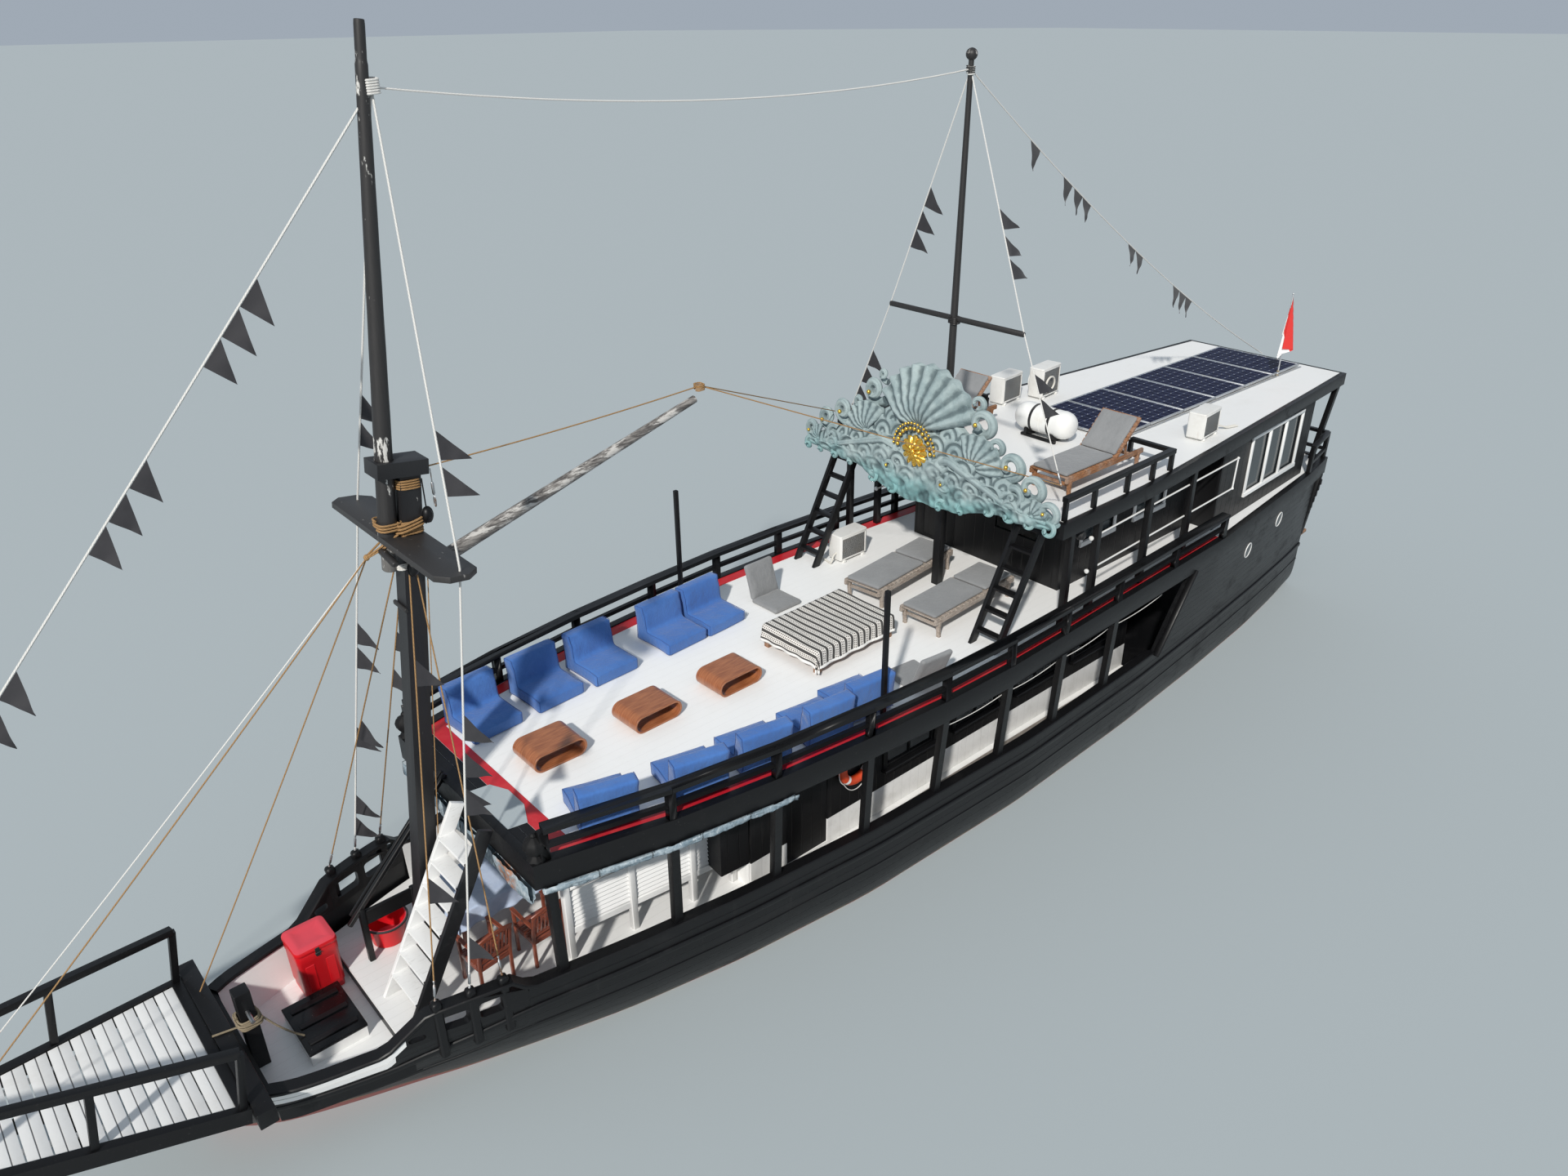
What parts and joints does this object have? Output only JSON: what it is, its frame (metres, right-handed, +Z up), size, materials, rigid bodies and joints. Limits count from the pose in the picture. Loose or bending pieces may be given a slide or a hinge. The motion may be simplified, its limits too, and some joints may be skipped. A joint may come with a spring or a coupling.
{
  "type": "wooden tour boat",
  "caption": "Black and white wooden tour boat with a planked bow platform, an open lounge deck with sofas, an aft cabin, a boom on the foremast and a slim aft mast.",
  "frame": {"origin": "amidships on the centreline, on the waterline", "axes": "+X towards the bow, +Y to port, +Z up"},
  "size_m": [24.779, 4.86, 11.7516],
  "materials": {
    "hull_planking": "black gloss paint over carvel planking, red below the water",
    "black_timber": "black gloss paint, worn at the edges",
    "black_planking": "black paint over boards",
    "black_spar": "black paint, weathered",
    "bare_spar": "weathered bare timber",
    "white_planking": "white paint over boards",
    "white_planks": "white paint, scuffed",
    "white_deck": "white deck paint, walked on",
    "white_roof": "white roof paint, dusty",
    "varnished_wood": "brown varnish",
    "verdigris_carving": "grey-green weathered paint with gilding",
    "iron_fitting": "galvanised and stained",
    "bronze": "dull bronze",
    "casing": "white enamel",
    "tank_plastic": "moulded white plastic",
    "red_plastic": "moulded red plastic",
    "solar_cells": "glazed dark blue cells",
    "blue_fabric": "woven blue cover",
    "striped_cloth": "black and white patterned stripes"
  },
  "bodies": {
    "hull": {"hull": "hull_planking", "ac_unit_deck": "casing", "ac_unit_roof_fore": "casing", "ac_unit_roof_port": "casing", "ac_unit_roof_starboard": "casing", "aft_mast": "black_spar", "awning_post_port": "black_timber", "awning_post_starboard": "black_timber", "bow_beam": "black_timber", "cabin_front_wall": "black_planking", "cabin_stern_wall": "black_planking", "cabin_wall_port": "black_planking", "cabin_wall_starboard": "black_planking", "cool_box": "red_plastic", "crest": "verdigris_carving", "crosstree": "black_spar", "daybed_frame": "varnished_wood", "daybed_mattress": "striped_cloth", "deck_rail_port": "black_timber", "deck_rail_starboard": "black_timber", "deckhouse_front_wall": "white_planking", "deckhouse_wall_port": "black_planking", "deckhouse_wall_starboard": "black_planking", "fore_stair": "black_timber", "foredeck": "white_deck", "foremast": "black_spar", "ladder_port": "black_timber", "ladder_starboard": "black_timber", "lounger_deck_port": "varnished_wood", "lounger_deck_starboard": "varnished_wood", "lounger_roof_port": "varnished_wood", "lounger_roof_starboard": "varnished_wood", "main_deck": "white_deck", "platform_frame": "black_timber", "platform_planks": "white_planks", "platform_rails": "black_timber", "roof": "white_roof", "roof_frame": "black_timber", "roof_rail_port": "black_timber", "roof_rail_starboard": "black_timber", "roof_tank": "tank_plastic", "samson_post": "black_timber", "sofa_port": "blue_fabric", "sofa_starboard": "blue_fabric", "solar_array": "solar_cells", "stern_rail": "black_timber", "topmast": "black_spar", "upper_deck": "white_deck", "upper_deck_frame": "black_timber"},
    "gooseneck": {"boom_gooseneck": "iron_fitting"},
    "boom": {"boom": "bare_spar"},
    "hatch_lid": {"hatch_lid": "black_timber"},
    "cool_box_lid": {"cool_box_lid": "red_plastic"},
    "deckhouse_door_port": {"deckhouse_door_port": "black_planking"},
    "deckhouse_door_starboard": {"deckhouse_door_starboard": "black_planking"},
    "cabin_front_door": {"cabin_front_door": "black_planking"},
    "cabin_stern_door": {"cabin_stern_door": "black_planking"},
    "rudder": {"rudder": "black_timber"},
    "propeller": {"propeller": "bronze"}
  },
  "joints": [
    {"name": "boom_swing", "type": "hinge", "parent": "hull", "child": "gooseneck", "pos_m": [7.3725, 0, 5.6027], "axis": [-0.1187, 0, 0.9929], "range_deg": [-60, 60]},
    {"name": "boom_luff", "type": "hinge", "parent": "gooseneck", "child": "boom", "pos_m": [7.2633, 0, 5.5896], "axis": [0, 1, 0], "range_deg": [-10, 45]},
    {"name": "hatch_lid_hinge", "type": "hinge", "parent": "hull", "child": "hatch_lid", "pos_m": [9.08, 0, 0.69], "axis": [0, -1, 0], "range_deg": [0, 95]},
    {"name": "cool_box_hinge", "type": "hinge", "parent": "hull", "child": "cool_box_lid", "pos_m": [9.195, -0.908, 1.2303], "axis": [1, 0, 0], "range_deg": [0, 95]},
    {"name": "deckhouse_door_port_hinge", "type": "hinge", "parent": "hull", "child": "deckhouse_door_port", "pos_m": [3.9975, 1.5675, 1.5], "axis": [0, 0, 1], "range_deg": [0, 95]},
    {"name": "deckhouse_door_starboard_hinge", "type": "hinge", "parent": "hull", "child": "deckhouse_door_starboard", "pos_m": [3.9975, -1.5675, 1.5], "axis": [0, 0, -1], "range_deg": [0, 95]},
    {"name": "cabin_front_door_hinge", "type": "hinge", "parent": "hull", "child": "cabin_front_door", "pos_m": [-1.5975, -1.2475, 3.4], "axis": [0, 0, -1], "range_deg": [0, 100]},
    {"name": "cabin_stern_door_hinge", "type": "hinge", "parent": "hull", "child": "cabin_stern_door", "pos_m": [-8.8975, -0.3225, 3.4], "axis": [0, 0, 1], "range_deg": [0, 100]},
    {"name": "rudder_turn", "type": "hinge", "parent": "hull", "child": "rudder", "pos_m": [-10, 0, 0], "axis": [0, 0, 1], "range_deg": [-35, 35]},
    {"name": "propeller_spin", "type": "hinge", "parent": "hull", "child": "propeller", "pos_m": [-9.26, 0, -1], "axis": [1, 0, 0], "continuous": true}
  ]
}
